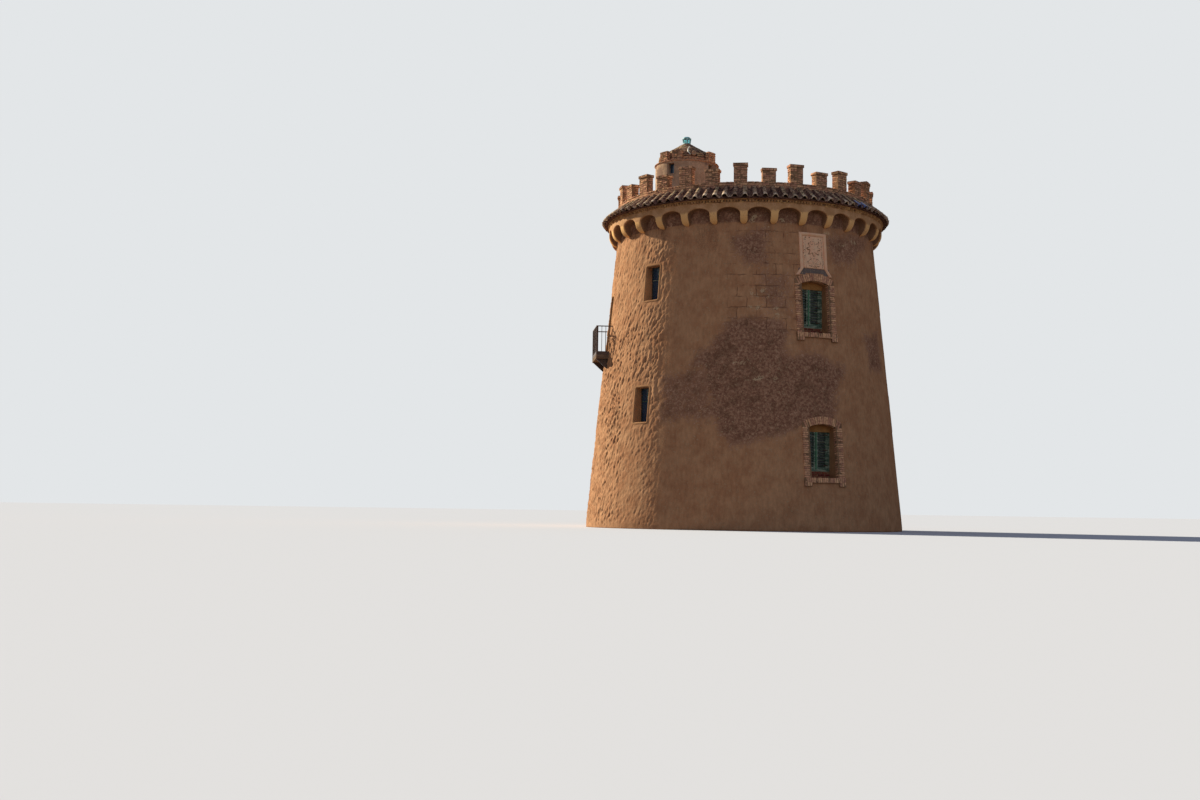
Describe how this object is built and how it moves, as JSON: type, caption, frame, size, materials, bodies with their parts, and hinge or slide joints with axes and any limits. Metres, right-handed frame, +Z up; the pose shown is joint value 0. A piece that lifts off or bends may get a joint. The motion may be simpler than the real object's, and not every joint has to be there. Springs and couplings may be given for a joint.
{
  "type": "round masonry watchtower",
  "caption": "Round battered watchtower with two storeys, a corbel arcade, a tiled skirt, a crenellated parapet and a small stair turret with a lantern.",
  "frame": {"origin": "centre of the round base, at ground level", "axes": "+Z up along the tower's axis; -Y towards the side with the slit windows on the left and the framed windows with the carved panel on the right; +X to the right seen from there"},
  "size_m": [10.9398, 10.94, 13.9161],
  "materials": {
    "wall_render": "weathered lime render over rubble masonry, patched and pitted",
    "floor_masonry": "worn lime concrete and clay paving",
    "arcade_render": "ochre lime render, stained",
    "brick": "weathered orange-brown brick in wide mortar joints",
    "roof_tile": "lichened clay barrel tile",
    "carved_stone": "worn pale sandstone",
    "green_joinery": "dark green paint, faded",
    "door_timber": "oiled brown planks",
    "balcony_stone": "grey-brown stained concrete",
    "iron": "rusted black paint",
    "window_glass": "dark dusty glass",
    "lamp_glass": "turquoise tinted glass",
    "lamp_metal": "green-blue patinated metal"
  },
  "bodies": {
    "root": {"balcony_brackets": "iron", "balcony_door": "door_timber", "balcony_railing": "iron", "balcony_slab": "balcony_stone", "corbel_arcade": "arcade_render", "dentil_course": "brick", "embrasure_copings": "brick", "entrance_door": "door_timber", "entrance_surround": "brick", "ground_floor": "floor_masonry", "lantern_fittings": "lamp_metal", "lantern_glass": "lamp_glass", "lower_wall_back": "wall_render", "lower_wall_back_right": "wall_render", "lower_wall_front_left": "wall_render", "lower_wall_front_right": "wall_render", "lower_wall_left": "wall_render", "lower_wall_right": "wall_render", "merlon_caps": "brick", "panel_border": "carved_stone", "panel_slab": "carved_stone", "parapet": "brick", "short_merlons": "brick", "shutters": "green_joinery", "slit_frames": "green_joinery", "slit_panes": "window_glass", "tall_merlons": "brick", "terrace_slab": "floor_masonry", "tile_skirt": "roof_tile", "turret_cornice": "brick", "turret_door": "door_timber", "turret_merlons": "brick", "turret_roof": "brick", "turret_wall": "wall_render", "upper_floor": "floor_masonry", "upper_wall_back": "wall_render", "upper_wall_back_right": "wall_render", "upper_wall_front_left": "wall_render", "upper_wall_front_right": "wall_render", "upper_wall_left": "wall_render", "upper_wall_right": "wall_render", "window_aprons": "brick", "window_frames": "green_joinery", "window_sills": "brick", "window_surrounds": "brick"}
  },
  "joints": []
}
